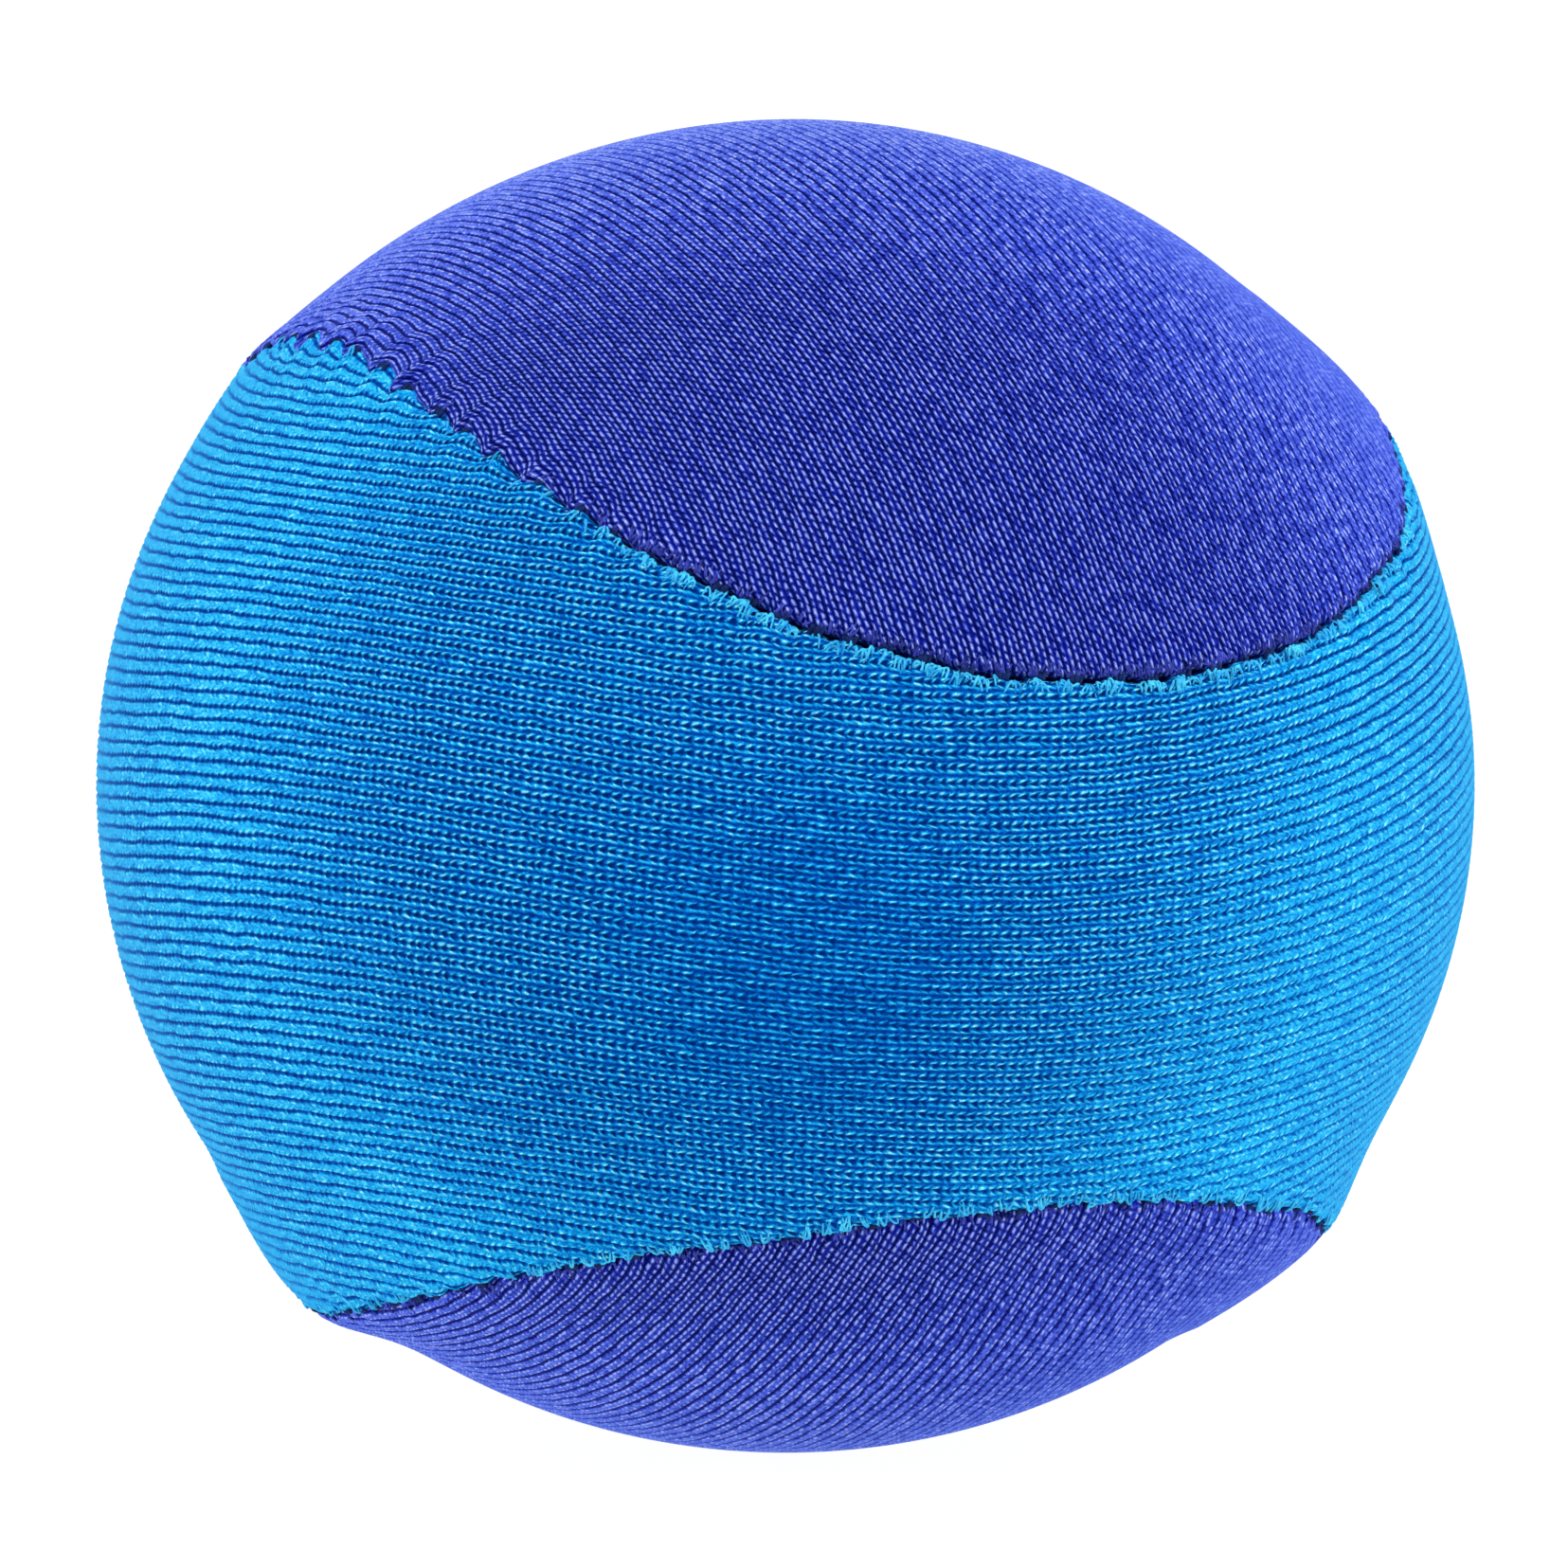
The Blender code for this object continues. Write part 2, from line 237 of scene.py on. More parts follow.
def cloth_by_seam(spot, inward, sign):
    """Where cloth so many mm in from the seam line lies: sideways, up and along, in mm.

    sign is 1 for the azure panel and -1 for the royal one.
    """
    hard, gape, over = GATHER_HARD[spot], GAPE[spot], OVER[spot]
    size = STITCH_SIZE[spot]
    phase = 2 * np.pi * STITCH_TURN[spot]
    puff = np.cos(phase) * size
    pull = lean(STITCH_TURN[spot]) * size
    inside = np.maximum(inward, 0)
    if sign > 0:
        wide, reach_hard, slide_hard = WIDE_AZURE[spot], 0.10, 0.04
        pucker_mm, pucker_reach = 0.05, 0.9
        ripple = 0.015 * np.cos(phase + 0.9)
        ripple_reach = 2.2
        roughness = 0.9 + 0.9 * gape + 1.3 * CURLY[spot]
    else:
        wide, reach_hard, slide_hard = WIDE_ROYAL[spot], 0.75, 0.20
        pucker_mm, pucker_reach = 0.15, 1.3
        ripple = 0.030 * pull
        ripple_reach = 3.2
        roughness = 0.5

    # the turned edge is a quarter round, then runs straight down
    bend = np.clip((FOLD_START - inward) / FOLD_R, 0, math.pi / 2)
    lateral = np.where(inward >= FOLD_START, inward, FOLD_START - FOLD_R * np.sin(bend))
    depth = FOLD_R * (1 - np.cos(bend)) + np.maximum(FOLD_START - FOLD_LENGTH - inward, 0)
    reach = np.exp(-inside / (0.75 + reach_hard * hard))
    # the whole edge snakes, and both cloths with it
    lateral = lateral + sign * snake(spot) * reach
    # each cloth also swells toward the seam at its own puckers
    lateral = lateral - (0.05 + 0.02 * hard) * puff * reach
    top = np.clip(-sign * over, 0, 1)
    under = np.clip(sign * over, 0, 1)
    lateral = lateral - (0.03 + 0.22 * top) * np.exp(-inside / 0.8)
    lateral = lateral + 0.13 * gape * (0.55 + 0.45 * np.cos(phase + 1.3)) * np.exp(-inside / 0.6)

    lift = RIDGE_MM[spot] * bump(inward, wide) - depth
    lift = lift + 0.06 * top * bump(inside, 1.2) - 0.13 * under * bump(inside, 0.8)
    lift = lift + 0.05 * puff * bump(inside, 1.2)
    pucker = hard * pucker_mm * size * (0.5 - sign * 0.5 * pull)
    lift = lift + pucker * bump(inside, pucker_reach)
    lift = lift + hard * ripple * bump(inside, ripple_reach)
    # small creases
    crumple = bump(inside, 1.2 + 0.9 * gape)
    blend = np.clip(inward / 1.4, 0, 1)
    rough = CRUMPLE_EDGE[spot] * (1 - blend) + CRUMPLE_INNER[spot] * blend
    rough = (rough * 0.085 + CRUMPLE_FINE[spot] * 0.035) * roughness
    lift = lift + rough * crumple
    along = (0.05 + slide_hard * hard) * np.cos(phase + 0.6) * reach
    return lateral, lift, along + rough * 1.3 * crumple


def place(spot, inward, sign, own, up=0.0):
    """Point of the cloth by the seam, in mm, and the outward direction there.

    own is the point's own offset as a direction on the ball, up is mm above the cloth.
    """
    lateral, lift, along = cloth_by_seam(spot, inward, sign)
    q = unit(off_seam(spot, lateral * sign / R_SIDE))
    q = unit(q + own + SEAM_T[spot] * (along / R_SIDE)[:, None])
    at, normal = on_ball(q)
    return at + normal * (lift + up)[:, None], normal


# ------------------------------------------------------------------ meshes
def add_object(name, data):
    ob = bpy.data.objects.new(name, data)
    bpy.context.scene.collection.objects.link(ob)
    return ob


def grid_mesh(name, verts, faces):
    """A smooth mesh in metres from points and four-cornered faces."""
    me = bpy.data.meshes.new(name)
    corners = faces.shape[1]
    me.vertices.add(len(verts))
    me.vertices.foreach_set("co", np.ascontiguousarray(verts, np.float32).ravel())
    me.loops.add(faces.size)
    me.loops.foreach_set("vertex_index", np.ascontiguousarray(faces, np.int32).ravel())
    me.polygons.add(len(faces))
    me.polygons.foreach_set("loop_start", np.arange(0, faces.size, corners, dtype=np.int32))
    me.update(calc_edges=True)
    me.validate()
    me.shade_smooth()
    return add_object(name, me)


def add_uv(ob, name, pairs):
    ob.data.uv_layers.new(name=name).data.foreach_set("uv", pairs.ravel())


# ------------------------------------------------------------------ cover panels
# A rib's number over the ball is a cubic; its level lines are the ribs. The columns are
# the factors of: z y x, yz yy xz xy xx, yyz yyy xyz xyy xxz xxy xxx
AZURE_RIBS = (62.8, 0.7, -0.5, -2.1, 0.2, -0.6, -1.8, -2.0,
              -14.4, -1.2, 0.0, -0.9, -16.4, 5.3, 0.7)
ROYAL_RIBS = (1.5, -1.4, 49.9, 0.4, -3.4, 3.5, -2.7, -3.5,
              -3.1, 3.3, -1.6, 0.6, -5.3, 4.1, 17.2)

# pole: axis the ribs circle; centre: middle of the panel's waist; rib_mm and bead_mm: height of
# a rib and of a stitch on it; middle: how full a rib is between its two rows of legs;
# loosest: where the cloth is loosest; slope: the stitches' slant in courses per rib
AZURE = SimpleNamespace(
    name="cover_panel_azure_knit", node="cover_panel_azure", slot="azure_knit", sign=1,
    pole=np.array([0.0, 0.0, 1.0]), centre=np.array([0.0, -1.0, 0.0]), ribs=AZURE_RIBS,
    rib_mm=0.130, bead_mm=0.030, middle=lambda q: 0.80 - 0.65 * near(q, AZURE_CALM, 45),
    loosest=(-0.42, -0.90, 0.15), eased=AZURE_EASED,
    slope=lambda across, groove: 1.3 * groove)
ROYAL = SimpleNamespace(
    name="cover_panel_royal_knit", node="cover_panel_royal", slot="royal_knit", sign=-1,
    pole=np.array([1.0, 0.0, 0.0]), centre=np.array([0.0, 1.0, 0.0]), ribs=ROYAL_RIBS,
    rib_mm=0.150, bead_mm=0.028,
    middle=lambda q: 0.70 - 0.50 * bump(1 - q @ np.array([-0.10, -0.88, 0.46]), 0.25),
    loosest=(-0.30, -0.85, 0.40), eased=ROYAL_EASED,
    slope=lambda across, groove: across)

HALF_LONG = math.radians(166)    # how far a panel's grid runs each way along its ribs
HALF_WIDE = 66                   # and across them, degrees
SEAM_BAND = 7.5                  # cloth within so many mm follows the seam


def rib_number(q, factors):
    x, y, z = q[..., 0], q[..., 1], q[..., 2]
    terms = (z, y, x, y * z, y * y, x * z, x * y, x * x,
             y * y * z, y ** 3, x * y * z, x * y * y, x * x * z, x * x * y, x ** 3)
    return sum(factor * term for factor, term in zip(factors, terms))


def direction(panel, around, up):
    """Direction at angles around the panel's pole and up from its waist toward the pole."""
    third = np.cross(panel.pole, panel.centre)
    return ((np.cos(around) * np.cos(up))[..., None] * panel.centre
            + (np.sin(around) * np.cos(up))[..., None] * third
            + np.sin(up)[..., None] * panel.pole)


def lay_ribs(panel):
    """Course numbers, their angles, rib numbers, and where on each course each rib lies.

    The last value is False where a rib doesn't cross a course.
    """
    half = COURSE_MM / 2 / R_SIDE
    steps = int(HALF_LONG / half)
    course = np.arange(-steps, steps + 1) / 2.0
    around = course * 2 * half
    up = np.radians(np.linspace(-HALF_WIDE, HALF_WIDE, 661))
    table = rib_number(direction(panel, around[:, None], up[None]), panel.ribs)
    table = np.maximum.accumulate(table + np.arange(len(up)) * 1e-9, axis=1)
    low, high = int(np.floor(table.min())), int(np.ceil(table.max()))
    rib = np.arange(low * PER_RIB, high * PER_RIB + 1) / PER_RIB
    rib_up = np.stack([np.interp(rib, row, up, left=np.nan, right=np.nan) for row in table])
    real = ~np.isnan(rib_up)
    return course, around, rib, np.where(real, rib_up, 0), real


def grid_slope(values, at, axis, real):
    """Slope along one axis of the grid, zero next to missing points."""
    slope = np.gradient(values, at, axis=axis)
    slope[~(real & np.roll(real, 1, axis) & np.roll(real, -1, axis))] = 0
    return slope


def wandered(panel, around, rib, rib_up, real, rng):
    """Directions of the points once stitches wander along their ribs and the ribs waver."""
    shape = rib_up.shape
    count = (len(rib) - 1) // PER_RIB
    length = 2 * HALF_LONG * R_SIDE
    roam = (0.75 * smooth_grid(shape, (int(length / 7), max(2, count // 12)), rng)
            + 0.20 * smooth_grid(shape, (int(length / 1.6), count // 2), rng)
            + 0.13 * smooth_grid(shape, (int(length / 2.4), count), rng))
    waver = (0.08 * smooth_grid(shape, (int(length / 0.9), count), rng)
             + 0.05 * smooth_grid(shape, (int(length / 3.0), count // 2), rng))
    slope = np.clip(grid_slope(rib_up, around, 0, real), -1.5, 1.5)
    pitch = np.clip(grid_slope(rib_up, rib, 1, real), 0, 0.06)
    shift = roam * COURSE_MM / R_SIDE
    return direction(panel, around[:, None] + shift, rib_up + slope * shift + waver * pitch)


def seam_distances(q, real, sign):
    """Nearest seam samples, mm in from the seam, and the points close by it."""
    ids = np.nonzero(real)[0]
    # a coarse look first, so that only points by the seam ask for the nearest sample
    coarse_p, coarse_s = SEAM_P[::25], SEAM_S[::25]
    cosine = np.full(len(ids), -1.0)
    side = np.zeros(len(ids))
    block_size = 40000
    for start in range(0, len(ids), block_size):
        block = q[ids[start:start + block_size]]
        dots = block @ coarse_p.T
        j = dots.argmax(1)
        cosine[start:start + block_size] = dots[np.arange(len(block)), j]
        side[start:start + block_size] = (block * coarse_s[j]).sum(1)
    far = np.arccos(np.clip(cosine, -1, 1)) * R_SIDE
    inward = np.full(len(q), -99.0)
    spot = np.zeros(len(q), int)
    inward[ids] = np.where(side * sign > 0, far, -far)
    band = ids[(far < SEAM_BAND) & (inward[ids] > -3.0)]
    spot[band], signed = to_seam(q[band])
    inward[band] = signed * sign
    return spot, inward, band


def rib_relief(panel, q, rib, course, rng):
    """Rib profile 0..1, and height of the knit in mm, at each point of the grid.

    A rib is two rows of legs with a shallow line between, and a stitch every course.
    """
    rows_n, cols_n = len(course), len(rib)
    across = np.broadcast_to((rib - np.floor(rib))[None], (rows_n, cols_n)).ravel()
    rows = 0.5 - 0.5 * np.cos(4 * np.pi * across)
    arch = 0.5 - 0.5 * np.cos(2 * np.pi * across)
    profile = rows + (1 - rows) * arch * panel.middle(q)
    groove = 0.5 - np.abs(across - 0.5)
    own = rng.uniform(0.3, 1.5, (rows_n // 2 + 2, cols_n // PER_RIB + 2))
    mine = own[(np.arange(rows_n) // 2)[:, None], (np.arange(cols_n) // PER_RIB)[None]].ravel()
    phase = np.repeat(course, cols_n) - panel.slope(across, groove)
    uneven = np.where(across < 0.5, 1.0, 0.55)
    bead = np.cos(2 * np.pi * phase) * rows * uneven * mine * panel.bead_mm
    tight = 1.0 - 0.45 * (1 - near(q, panel.loosest, 62)) ** 2
    tight = tight * (1 - 0.45 * near(q, panel.eased, 32))
    return profile, panel.rib_mm * (profile - 0.7) * tight + bead * tight


def build_panel(panel):
    """A cover panel whose mesh runs along its ribs, two points to a stitch."""
    rng = np.random.default_rng(100 + panel.sign)
    course, around, rib, rib_up, real = lay_ribs(panel)
    q = wandered(panel, around, rib, rib_up, real, rng).reshape(-1, 3)
    spot, inward, band = seam_distances(q, real.ravel(), panel.sign)
    keep = (inward > FOLD_START - FOLD_LENGTH - TUCK) & real.ravel()
    profile, rise = rib_relief(panel, q, rib, course, rng)
    # the gel settles a little flatter near the top, to the left and back
    rise = rise - 0.20 * near(q, (-0.32, 0.24, 0.90), 24)

    pos, normal = on_ball(q)
    # cloth by the seam keeps its own place along the seam
    close = band[keep[band]]
    apart = q[close] - off_seam(spot[close], inward[close] * panel.sign / R_SIDE)
    fade = np.clip((SEAM_BAND - inward[close]) / 1.5, 0, 1)[:, None]
    at, at_normal = place(spot[close], inward[close], panel.sign, apart)
    pos[close] = pos[close] * (1 - fade) + at * fade
    normal[close] = unit(normal[close] * (1 - fade) + at_normal * fade)
    pos = pos + normal * rise[:, None]
    # the gel's resting flat
    low = pos[:, 2] < FOOT_Z
    pos[low, 2] = FOOT_Z + (profile[low] - 1.0) * panel.rib_mm * 0.5

    kept = keep.reshape(real.shape)
    quad = kept[:-1, :-1] & kept[1:, :-1] & kept[:-1, 1:] & kept[1:, 1:]
    cells = np.arange(real.size).reshape(real.shape)
    used = np.zeros(real.shape, bool)
    first, second = slice(None, -1), slice(1, None)
    corners = []
    for down, over in ((first, first), (second, first), (second, second), (first, second)):
        used[down, over] |= quad
        corners.append(cells[down, over][quad])
    faces = np.stack(corners, 1)
    # face out
    sample = faces[len(faces) // 2]
    facing = np.cross(pos[sample[1]] - pos[sample[0]], pos[sample[2]] - pos[sample[0]])
    if facing @ pos[sample[0]] < 0:
        faces = faces[:, ::-1]
    used = used.ravel()
    number = np.cumsum(used) - 1
    ob = grid_mesh(panel.name, pos[used] * MM, number[faces])

    down, over = np.divmod(faces.ravel(), len(rib))
    corner_rib, corner_course = rib[over], course[down]
    add_uv(ob, "knit", np.stack([corner_rib, corner_course], 1).astype(np.float32))
    # a second map over 0..1, for anyone who bakes the cloth
    flat = np.stack([(corner_course - course[0]) / (course[-1] - course[0]),
                     (corner_rib - rib[0]) / (rib[-1] - rib[0])], 1).astype(np.float32)
    add_uv(ob, "OFBake", flat * 0.996 + 0.002)
    return ob


# ------------------------------------------------------------------ shader helpers
class Signal:
    """A value in a node tree; arithmetic on it adds math nodes."""

    def __init__(self, shader, socket):
        self.shader = shader
        self.socket = socket

    def math(self, operation, *others):
        return self.shader.math(operation, self, *others)

    def scaled(self, factor, plus):
        return self.math("MULTIPLY_ADD", factor, plus)

    def __add__(self, other):
        return self.math("ADD", other)

    def __sub__(self, other):
        return self.math("SUBTRACT", other)

    def __rsub__(self, other):
        return self.shader.math("SUBTRACT", other, self)

    def __mul__(self, other):
        return self.math("MULTIPLY", other)

    def __truediv__(self, other):
        return self.math("DIVIDE", other)


class Shader:
    """Builds the node tree of a material or a world."""

    def __init__(self, owner, main="Principled BSDF"):
        owner.use_nodes = True
        self.owner = owner
        self.tree = owner.node_tree
        self.main = self.tree.nodes[main]

    def fill(self, node, inputs):
        """Set or link a node's inputs, given by name or number."""
        for key, value in inputs.items():
            if isinstance(value, Signal):
                self.tree.links.new(value.socket, node.inputs[key])
            else:
                node.inputs[key].default_value = value

    def node(self, kind, inputs, **props):
        node = self.tree.nodes.new(kind)
        for key, value in props.items():
            setattr(node, key, value)
        self.fill(node, inputs)
        return node

    def add(self, kind, inputs=None, out=0, **props):
        return Signal(self, self.node(kind, inputs or {}, **props).outputs[out])

    def finish(self, inputs):
        self.fill(self.main, inputs)
        return self.owner

    def math(self, operation, *values):
        return self.add("ShaderNodeMath", dict(enumerate(values)), operation=operation)

    def vector(self, x, y, z):
        return self.add("ShaderNodeCombineXYZ", {0: x, 1: y, 2: z})

    def object_place(self):
        return self.add("ShaderNodeTexCoord", out="Object")

    def noise(self, place_, scale, detail=2.0, rough=0.5, seed=0.0):
        return self.add("ShaderNodeTexNoise", {"W": seed, "Scale": scale, "Detail": detail,
                                               "Roughness": rough, "Vector": place_},
                        out="Fac", noise_dimensions="4D")

    def ramp(self, signal, stops):
        """Colours from (position, colour) stops."""
        node = self.node("ShaderNodeValToRGB", {0: signal})
        elements = node.color_ramp.elements
        while len(elements) < len(stops):
            elements.new(0.5)
        for element, (position, colour) in zip(elements, stops):
            element.position = position
            element.color = (*colour, 1.0)
        return Signal(self, node.outputs[0])

    def remap(self, signal, lo, hi, to=(0.0, 1.0), curve="LINEAR"):
        """Carry lo..hi to another range, held at its ends."""
        return self.add("ShaderNodeMapRange",
                        {"Value": signal, "From Min": lo, "From Max": hi,
                         "To Min": to[0], "To Max": to[1]}, interpolation_type=curve)

    def step(self, signal, lo, hi):
        return self.remap(signal, lo, hi, curve="SMOOTHSTEP")

    def bump(self, height, strength, distance):
        return self.add("ShaderNodeBump", {"Strength": strength, "Distance": distance,
                                           "Height": height})

    def dot(self, one, other):
        return self.add("ShaderNodeVectorMath", {0: one, 1: other}, out="Value",
                        operation="DOT_PRODUCT")

    def outward(self, place_):
        return self.add("ShaderNodeVectorMath", {0: place_}, operation="NORMALIZE")

    def facing(self, place_, toward_, lo, hi):
        """1 where the ball faces a direction, fading out between two cosines."""
        aim = tuple(unit(np.array(toward_, float)))
        return self.step(self.dot(self.outward(place_), aim), lo, hi)

    def seen_square(self, place_):
        """1 where the ball is seen square on, 0 at its rim."""
        return self.dot(self.outward(place_), self.add("ShaderNodeNewGeometry", out="Incoming"))


def new_material(name):
    return Shader(bpy.data.materials.new(name))


def bell(x, middle, width):
    off = (x - middle) / width
    return (off * off * -1.0).math("EXPONENT")


def humps(x, count):
    """0 at each whole number, with so many humps up to 1 between."""
    return (x * (count * 2 * math.pi)).math("COSINE").scaled(-0.5, 0.5)


# ------------------------------------------------------------------ knit materials
def knit_coordinates(shader):
    """Rib and course numbers and where a spot lies in its rib.

    A rib is two rows of slanting legs. across runs 0..1 over a rib, groove is the distance from
    the groove in ribs, arch is 1 between the two rows and 0 in the groove.
    """
    uv = shader.add("ShaderNodeUVMap", uv_map="knit")
    split = shader.node("ShaderNodeSeparateXYZ", {0: uv})
    rib, course = (Signal(shader, split.outputs[k]) for k in range(2))
    spot = shader.object_place()
    course = course + (shader.noise(spot, 2600.0, rough=0.6) - 0.5) * 0.70
    rib = rib + (shader.noise(spot, 2300.0, rough=0.6, seed=3.7) - 0.5) * 0.22
    across = rib.math("FRACT")
    # the finest noise here marks where painted glints, small painted highlights, sparkle on the
    # yarn
    return SimpleNamespace(
        rib=rib, course=course, across=across, groove=0.5 - (across - 0.5).math("ABSOLUTE"),
        arch=humps(across, 1), glint_noise=shader.noise(spot, 8600.0, 1.0), spot=spot)


def knit_tone(shader, knit, *, fibre, rows, stroke, phase, middle, eased, eased_to, stroke_at,
              stroke_width, stroke_tone, lower_row, upper_row, base, ridge_tone, seed,
              stitch_varies, fibre_tone, rim, rim_sheen_to):
    """How light each spot of the cloth is, 0..1, and its height.

    rows is 1 along each row of legs, stroke is 1 on a stitch and -1 between two.
    """
    # painted light and shade: the rows of legs and the rib's middle are painted lighter as if lit,
    # the groove darker as its shade
    ridge = rows + (1.0 - rows) * knit.arch * middle
    ridge = ridge * (1.0 - eased) + eased * eased_to
    lower = knit.across.math("LESS_THAN", 0.5)
    strength = (bell(knit.groove, stroke_at, stroke_width)
                * lower.scaled(lower_row - upper_row, upper_row))
    # the strokes paint each stitch lighter as lit and the gap between two stitches darker as its
    # shade
    strokes = stroke * strength * stroke_tone
    # a number of its own for each stitch
    stitch = shader.vector((knit.rib * 2.0).math("FLOOR"), (phase + 0.5).math("FLOOR"),
                           float(seed))
    own = shader.add("ShaderNodeTexWhiteNoise", {"Vector": stitch}, out="Value",
                     noise_dimensions="3D")
    # the smoothstep on the finest noise at the end adds painted glints: small spots painted
    # lighter as sparkling highlights
    tone = (ridge * ridge_tone + base + strokes + (own - 0.5) * rows * stitch_varies
            + (fibre - 0.5) * fibre_tone + shader.step(knit.glint_noise, 0.58, 0.78) * 0.20)
    # painted sheen: toward the rim, where one looks along the fluff, the tone is painted paler, as
    # light caught at a grazing view, and plainer
    rim_sheen = shader.remap(shader.seen_square(knit.spot), 0.06, rim_sheen_to, (0.60, 0.0))
    tone = tone * (1.0 - rim_sheen) + rim_sheen * rim
    tone = tone.math("MINIMUM", 1.0).math("MAXIMUM", 0.0)
    return tone, ridge * 0.5 + strokes * 1.6 + fibre * 0.7


def finish_knit(shader, tone, relief, *, colours, sheen, sheen_tint, metal):
    """Dark to light colours over the tone, from painted shade in the grooves to a painted
    highlight on the crests, and the cloth's bump and sheen.
    """
    return shader.finish({
        "Base Color": shader.ramp(tone, list(zip((0.0, 0.30, 0.60, 0.84, 1.0), colours))),
        "Normal": shader.bump(relief, strength=0.9, distance=0.00013),
        "Metallic": metal,
        "Roughness": tone.scaled(-0.16, 0.60),
        "Specular IOR Level": 0.22,
        "Specular Tint": (*sheen_tint, 1.0),
        "Sheen Weight": sheen,
        "Sheen Roughness": 0.36,
        "Sheen Tint": (*sheen_tint, 1.0)})


def azure_knit():
    """Jersey rib: rows of slanting legs that meet in a V at the groove, with holes where they part
    that are painted dark as shade.
    """
    shader = new_material("azure_rib_knit")
    knit = knit_coordinates(shader)
    # fibres run along each leg, and change from row to row
    leg = (knit.rib * 2.0).math("FLOOR") * 7.31 + 3.0
    fibre = shader.noise(shader.vector(knit.groove * 3.4,
                                       knit.groove.scaled(-1.3, knit.course) * 2.6, leg),
                         1.0, 3.0, 0.7)
    square = shader.seen_square(knit.spot)
    calm = shader.facing(knit.spot, AZURE_CALM, 0.86, 0.99)
    calmest = shader.facing(knit.spot, AZURE_CALM, 0.95, 0.998)
    eased = shader.facing(knit.spot, AZURE_EASED, 0.72, 0.96) * 0.42
    stroke_tone = shader.remap(square, 0.50, 0.82, (0.17, 0.54)) - calmest * 0.24
    phase = knit.groove.scaled(-1.3, knit.course)
    tone, relief = knit_tone(
        shader, knit, fibre=fibre, rows=humps(knit.across, 2),
        stroke=(phase * (2 * math.pi)).math("COSINE"), phase=phase,
        middle=shader.remap(square, 0.56, 0.84, (1.0, 0.12)), eased=eased, eased_to=0.90,
        stroke_at=0.14, stroke_width=0.18, stroke_tone=stroke_tone + eased * 0.12,
        lower_row=1.0, upper_row=0.55, base=0.065,
        ridge_tone=calm.scaled(-0.06, calmest.scaled(-0.11, 0.66)), seed=5,
        stitch_varies=0.32, fibre_tone=1.65, rim=0.70, rim_sheen_to=0.30)
    # colours run from the painted shade of the grooves up to a painted highlight on the crests
    return finish_knit(
        shader, tone, relief, sheen=0.22, sheen_tint=(0.0, 0.62, 1.0), metal=0.50,
        colours=((0.0, 0.024, 0.235), (0.0006, 0.095, 0.47), (0.006, 0.335, 0.80),
                 (0.028, 0.61, 0.98), (0.25, 0.86, 1.0)))


def royal_knit():
    """The same rib cloth: plain twisted cords, opened to separate long loops at the front seam."""
    shader = new_material("royal_rib_knit")
    knit = knit_coordinates(shader)
    fibre = shader.noise(shader.vector(knit.course.scaled(0.12, knit.rib) * 5.4,
                                       knit.course * 1.5, 11.0), 1.0, 3.0, 0.7)
    square = shader.seen_square(knit.spot)
    eased = (shader.facing(knit.spot, ROYAL_EASED, 0.70, 0.97) * 0.28).math(
        "MAXIMUM", shader.facing(knit.spot, (0.39, -0.66, -0.64), 0.74, 0.97) * 0.30)
    phase = knit.course - knit.across
    # each stroke stands at a slant to its rib
    tilt = shader.remap(square, 0.66, 0.86, (0.0, 0.06))
    slanted = knit.across + ((phase + 0.5).math("FRACT") - 0.5) * tilt
    sine = (phase * math.pi).math("SINE")
    sine_squared = sine * sine
    # painted light from above: the royal's pale rim tone is painted lighter toward the top
    top_light = shader.facing(knit.spot, (-0.20, -0.30, 0.93), 0.60, 0.95)
    tone, relief = knit_tone(
        shader, knit, fibre=fibre, rows=humps(slanted, 2).math("POWER", 1.25),
        stroke=(sine_squared * sine_squared).scaled(-2.0, 1.0), phase=phase,
        middle=shader.remap(square, 0.42, 0.70, (0.92, 0.20)), eased=eased, eased_to=0.62,
        stroke_at=0.24, stroke_width=0.15,
        stroke_tone=shader.remap(square, 0.44, 0.74, (0.16, 0.42)),
        lower_row=0.9, upper_row=1.1, base=-0.04, ridge_tone=0.84, seed=7,
        stitch_varies=0.58, fibre_tone=1.7, rim=top_light.scaled(0.16, 0.80), rim_sheen_to=0.40)
    # colours run from the painted shade of the grooves up to a painted highlight on the crests
    return finish_knit(
        shader, tone, relief, sheen=0.19, sheen_tint=(0.26, 0.48, 1.0), metal=0.45,
        colours=((0.0001, 0.0004, 0.125), (0.002, 0.006, 0.27), (0.040, 0.072, 0.62),
                 (0.125, 0.200, 0.90), (0.38, 0.46, 1.0)))


# ------------------------------------------------------------------ other materials
def thread_material(name, dark, light, sheen_tint):
    shader = new_material(name)
    spot = shader.object_place()
    fine = shader.noise(spot, 6000.0, 3.0, 0.6)
    broad = shader.noise(spot, 1300.0, 1.0)
    return shader.finish({
        "Base Color": shader.ramp(fine * 0.5 + broad * 0.5, [(0.36, dark), (0.66, light)]),
        "Normal": shader.bump(fine, strength=0.7, distance=0.00005),
        "Roughness": broad.scaled(0.3, 0.42),
        "Metallic": 0.3,
        "Specular IOR Level": 0.2,
        "Specular Tint": (*sheen_tint, 1.0),
        "Sheen Weight": 0.05,
        "Sheen Tint": (*sheen_tint, 1.0)})


